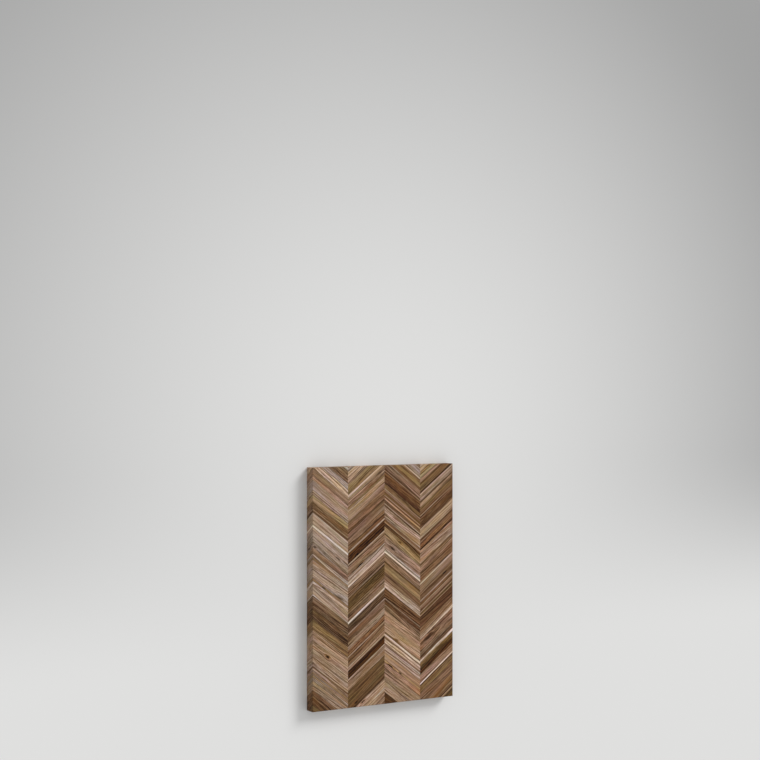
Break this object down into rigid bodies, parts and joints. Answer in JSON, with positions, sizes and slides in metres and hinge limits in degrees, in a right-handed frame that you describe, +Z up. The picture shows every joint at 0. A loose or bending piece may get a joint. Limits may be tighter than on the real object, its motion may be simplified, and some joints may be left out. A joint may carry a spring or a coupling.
{
  "type": "wood countertop",
  "caption": "Rectangular solid wood countertop slab laid in a chevron of slanted staves in mixed brown and tan tones, with eased edges and flat faces.",
  "frame": {"origin": "middle of the underside, which lies on the floor", "axes": "+X across the width from the left long edge to the right, +Y along the length, +Z up through the thickness"},
  "size_m": [0.635, 0.914, 0.045],
  "materials": {
    "cream_wood": "satin oiled",
    "sand_wood": "satin oiled",
    "tan_wood": "satin oiled",
    "rose_wood": "satin oiled",
    "olive_wood": "satin oiled",
    "brown_wood": "satin oiled",
    "russet_wood": "satin oiled",
    "bronze_wood": "satin oiled",
    "umber_wood": "satin oiled"
  },
  "bodies": {
    "root": {"column_1_brown_staves": "brown_wood", "column_1_cream_staves": "cream_wood", "column_1_olive_staves": "olive_wood", "column_1_rose_staves": "rose_wood", "column_1_russet_staves": "russet_wood", "column_1_sand_staves": "sand_wood", "column_1_tan_staves": "tan_wood", "column_1_umber_staves": "umber_wood", "column_2_bronze_staves": "bronze_wood", "column_2_brown_staves": "brown_wood", "column_2_cream_staves": "cream_wood", "column_2_olive_staves": "olive_wood", "column_2_rose_staves": "rose_wood", "column_2_russet_staves": "russet_wood", "column_2_sand_staves": "sand_wood", "column_2_tan_staves": "tan_wood", "column_2_umber_staves": "umber_wood", "column_3_bronze_staves": "bronze_wood", "column_3_brown_staves": "brown_wood", "column_3_cream_staves": "cream_wood", "column_3_olive_staves": "olive_wood", "column_3_rose_staves": "rose_wood", "column_3_russet_staves": "russet_wood", "column_3_sand_staves": "sand_wood", "column_3_tan_staves": "tan_wood", "column_3_umber_staves": "umber_wood", "column_4_bronze_staves": "bronze_wood", "column_4_brown_staves": "brown_wood", "column_4_cream_staves": "cream_wood", "column_4_olive_staves": "olive_wood", "column_4_rose_staves": "rose_wood", "column_4_russet_staves": "russet_wood", "column_4_sand_staves": "sand_wood", "column_4_tan_staves": "tan_wood", "column_4_umber_staves": "umber_wood"}
  },
  "joints": []
}
